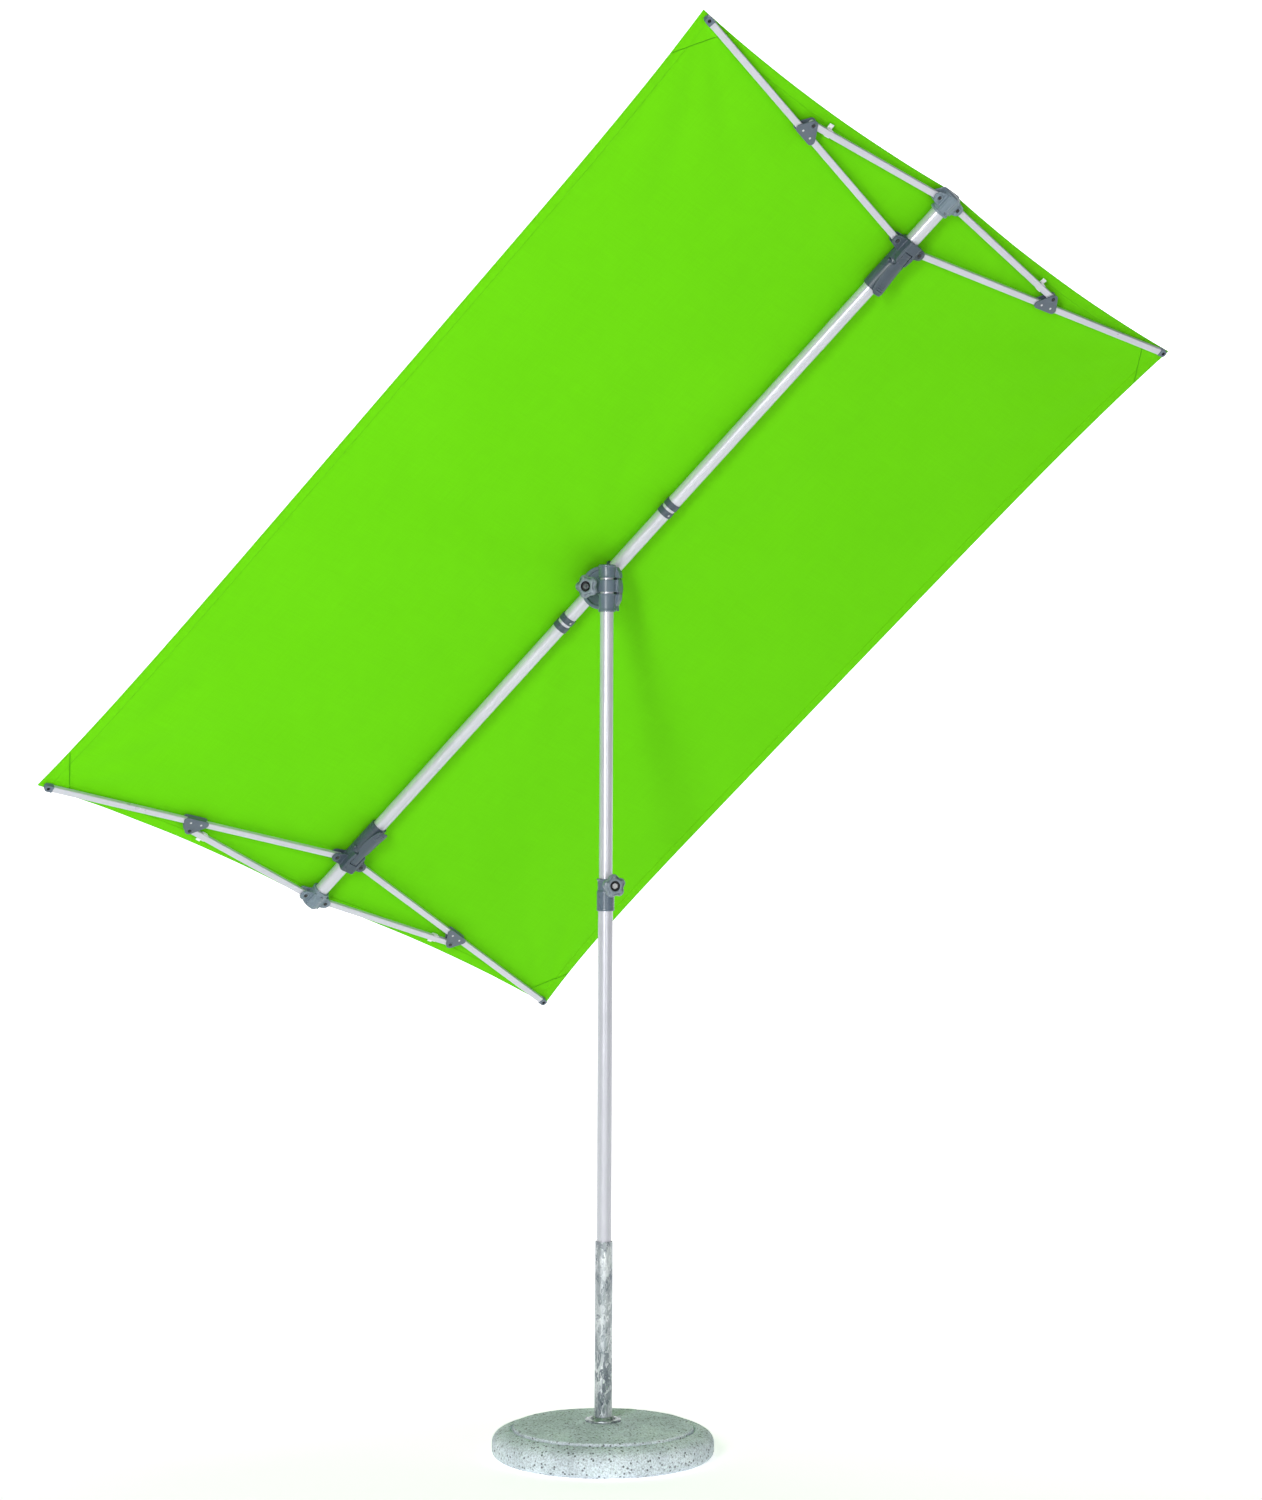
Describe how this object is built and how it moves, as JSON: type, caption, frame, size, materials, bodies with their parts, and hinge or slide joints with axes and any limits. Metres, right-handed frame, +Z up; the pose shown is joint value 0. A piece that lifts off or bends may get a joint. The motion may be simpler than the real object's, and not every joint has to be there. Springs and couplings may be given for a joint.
{
  "type": "patio umbrella",
  "caption": "Rectangular tilting patio umbrella: fabric sail on a crossbar with folding end ribs, clamp head, height-adjustable pole, galvanised tube and round concrete base.",
  "frame": {"origin": "centre of the underside of the concrete base, on the pole axis", "axes": "+Z up along the pole; +Y away from the side that the head knob faces, +X to the right seen from that side; the crossbar rises towards +X and -Y"},
  "size_m": [2.3843, 1.6204, 2.8643],
  "materials": {
    "concrete": "cast, pitted",
    "galvanised_steel": "hot-dip galvanised spangle",
    "painted_aluminium": "silver powder coat, satin",
    "grey_plastic": "moulded, fine grain",
    "zinc_steel": "zinc plated",
    "sail_fabric": "woven polyester, apple green",
    "white_plastic": "moulded",
    "liner_plastic": "moulded",
    "brake_rubber": "moulded"
  },
  "bodies": {
    "base": {"concrete_base": "concrete", "stand_tube": "galvanised_steel", "stand_flange": "galvanised_steel"},
    "lower_pole": {"lower_pole": "painted_aluminium", "pole_foot_plug": "grey_plastic", "height_collar": "grey_plastic"},
    "height_knob": {"height_knob": "grey_plastic", "height_knob_screw": "zinc_steel", "height_brake_pad": "brake_rubber"},
    "upper_pole": {"upper_pole": "painted_aluminium", "pole_guide_plug": "grey_plastic"},
    "head": {"head_sleeve": "grey_plastic", "clamp_band": "grey_plastic"},
    "head_knob": {"head_knob": "grey_plastic", "head_knob_nut": "zinc_steel"},
    "tilt_head": {"tilt_saddle": "grey_plastic", "tilt_bolt": "zinc_steel"},
    "saddle_liner": {"saddle_liner": "liner_plastic"},
    "crossbar": {"crossbar_middle": "painted_aluminium", "crossbar_upper": "painted_aluminium", "crossbar_lower": "painted_aluminium", "crossbar_spigots": "painted_aluminium", "stop_collars": "grey_plastic", "stop_collar_screws": "zinc_steel", "crown_upper": "grey_plastic", "crown_lower": "grey_plastic", "crown_pins": "zinc_steel", "crown_screws": "zinc_steel", "canopy_fabric": "sail_fabric"},
    "slider_upper": {"slider_upper": "grey_plastic", "slider_pins_upper": "zinc_steel"},
    "slider_lower": {"slider_lower": "grey_plastic", "slider_pins_lower": "zinc_steel"},
    "trigger_upper": {"trigger_upper": "grey_plastic"},
    "strut_upper_left": {"strut_upper_left": "painted_aluminium", "fabric_hook_upper_left": "white_plastic"},
    "rib_upper_left": {"rib_upper_left": "painted_aluminium", "rib_cap_upper_left": "grey_plastic", "elbow_bracket_upper_left": "grey_plastic", "elbow_pin_upper_left": "zinc_steel"},
    "strut_upper_right": {"strut_upper_right": "painted_aluminium", "fabric_hook_upper_right": "white_plastic"},
    "rib_upper_right": {"rib_upper_right": "painted_aluminium", "rib_cap_upper_right": "grey_plastic", "elbow_bracket_upper_right": "grey_plastic", "elbow_pin_upper_right": "zinc_steel"},
    "trigger_lower": {"trigger_lower": "grey_plastic"},
    "strut_lower_left": {"strut_lower_left": "painted_aluminium", "fabric_hook_lower_left": "white_plastic"},
    "rib_lower_left": {"rib_lower_left": "painted_aluminium", "rib_cap_lower_left": "grey_plastic", "elbow_bracket_lower_left": "grey_plastic", "elbow_pin_lower_left": "zinc_steel"},
    "strut_lower_right": {"strut_lower_right": "painted_aluminium", "fabric_hook_lower_right": "white_plastic"},
    "rib_lower_right": {"rib_lower_right": "painted_aluminium", "rib_cap_lower_right": "grey_plastic", "elbow_bracket_lower_right": "grey_plastic", "elbow_pin_lower_right": "zinc_steel"}
  },
  "joints": [
    {"name": "pole_turn", "type": "hinge", "parent": "base", "child": "lower_pole", "pos_m": [0, 0, 0.3], "axis": [0, 0, 1], "continuous": true},
    {"name": "height_slide", "type": "slide", "parent": "lower_pole", "child": "upper_pole", "axis": [0, 0, 1], "range_m": [-0.45, 0.35]},
    {"name": "height_knob_turn", "type": "hinge", "parent": "lower_pole", "child": "height_knob", "pos_m": [0, 0, 1.195], "axis": [0.3907, -0.9205, 0], "range_deg": [0, 360]},
    {"name": "head_swivel", "type": "hinge", "parent": "upper_pole", "child": "head", "pos_m": [0, 0, 1.819], "axis": [0, 0, 1], "continuous": true},
    {"name": "head_knob_turn", "type": "hinge", "parent": "head", "child": "head_knob", "pos_m": [-0.02423, 0.01192, 1.819], "axis": [-0.4415, -0.8973, 0], "range_deg": [0, 360]},
    {"name": "canopy_tilt", "type": "hinge", "parent": "head", "child": "tilt_head", "pos_m": [-0.02423, 0.01192, 1.819], "axis": [-0.4415, -0.8973, 0], "range_deg": [-44, 40]},
    {"name": "canopy_roll", "type": "hinge", "parent": "tilt_head", "child": "saddle_liner", "pos_m": [0.01984, 0.05989, 1.86754], "axis": [0.6433, -0.3165, 0.6972], "range_deg": [-46, 15]},
    {"name": "crossbar_shift", "type": "slide", "parent": "saddle_liner", "child": "crossbar", "axis": [0.6433, -0.3165, 0.6972], "range_m": [-0.155, 0.061]},
    {"name": "canopy_fold", "type": "slide", "parent": "crossbar", "child": "slider_upper", "axis": [-0.6433, 0.3165, -0.6972], "range_m": [0, 0.60299], "deforming": ["canopy_fabric"]},
    {"name": "lower_slider_slide", "type": "slide", "parent": "crossbar", "child": "slider_lower", "axis": [0.6433, -0.3165, 0.6972], "range_m": [0, 0.60399]},
    {"name": "trigger_upper_press", "type": "hinge", "parent": "slider_upper", "child": "trigger_upper", "pos_m": [0.5998, -0.23647, 2.47591], "axis": [0.6888, 0.6368, -0.3465], "range_deg": [0, 3.5], "stiffness_Nm_per_rad": 0.4, "springref_deg": -8.59},
    {"name": "strut_upper_left_swing", "type": "hinge", "parent": "crossbar", "child": "strut_upper_left", "pos_m": [0.66191, -0.28414, 2.5949], "axis": [0.3343, -0.7031, -0.6276], "range_deg": [0, 85.77]},
    {"name": "rib_upper_left_swing", "type": "hinge", "parent": "strut_upper_left", "child": "rib_upper_left", "pos_m": [0.39486, -0.50216, 2.69691], "axis": [-0.3343, 0.7031, 0.6276], "range_deg": [0, 163.21]},
    {"name": "strut_upper_right_swing", "type": "hinge", "parent": "crossbar", "child": "strut_upper_right", "pos_m": [0.70159, -0.24747, 2.57494], "axis": [-0.3343, 0.7031, 0.6276], "range_deg": [0, 85.77]},
    {"name": "rib_upper_right_swing", "type": "hinge", "parent": "strut_upper_right", "child": "rib_upper_right", "pos_m": [0.9279, -0.00941, 2.4288], "axis": [0.3343, -0.7031, -0.6276], "range_deg": [0, 163.21]},
    {"name": "trigger_lower_press", "type": "hinge", "parent": "slider_lower", "child": "trigger_lower", "pos_m": [-0.54648, 0.32757, 1.23356], "axis": [-0.6888, -0.6368, 0.3465], "range_deg": [0, 3.5], "stiffness_Nm_per_rad": 0.4, "springref_deg": -8.59},
    {"name": "strut_lower_left_swing", "type": "hinge", "parent": "crossbar", "child": "strut_lower_left", "pos_m": [-0.62223, 0.40393, 1.14018], "axis": [0.3343, -0.7031, -0.6276], "range_deg": [0, 85.77]},
    {"name": "rib_lower_left_swing", "type": "hinge", "parent": "strut_lower_left", "child": "rib_lower_left", "pos_m": [-0.35518, 0.62195, 1.03817], "axis": [-0.3343, 0.7031, 0.6276], "range_deg": [0, 163.21]},
    {"name": "strut_lower_right_swing", "type": "hinge", "parent": "crossbar", "child": "strut_lower_right", "pos_m": [-0.66191, 0.36725, 1.16013], "axis": [-0.3343, 0.7031, 0.6276], "range_deg": [0, 85.77]},
    {"name": "rib_lower_right_swing", "type": "hinge", "parent": "strut_lower_right", "child": "rib_lower_right", "pos_m": [-0.88823, 0.1292, 1.30628], "axis": [0.3343, -0.7031, -0.6276], "range_deg": [0, 163.21]}
  ],
  "couplings": [
    {"joint": "lower_slider_slide", "follows": "canopy_fold", "ratio": 1},
    {"joint": "strut_upper_left_swing", "follows": "canopy_fold", "rad_per_m": 2.474},
    {"joint": "rib_upper_left_swing", "follows": "canopy_fold", "rad_per_m": 4.7154},
    {"joint": "strut_upper_right_swing", "follows": "canopy_fold", "rad_per_m": 2.474},
    {"joint": "rib_upper_right_swing", "follows": "canopy_fold", "rad_per_m": 4.7154},
    {"joint": "strut_lower_left_swing", "follows": "canopy_fold", "rad_per_m": 2.474},
    {"joint": "rib_lower_left_swing", "follows": "canopy_fold", "rad_per_m": 4.7154},
    {"joint": "strut_lower_right_swing", "follows": "canopy_fold", "rad_per_m": 2.474},
    {"joint": "rib_lower_right_swing", "follows": "canopy_fold", "rad_per_m": 4.7154}
  ]
}
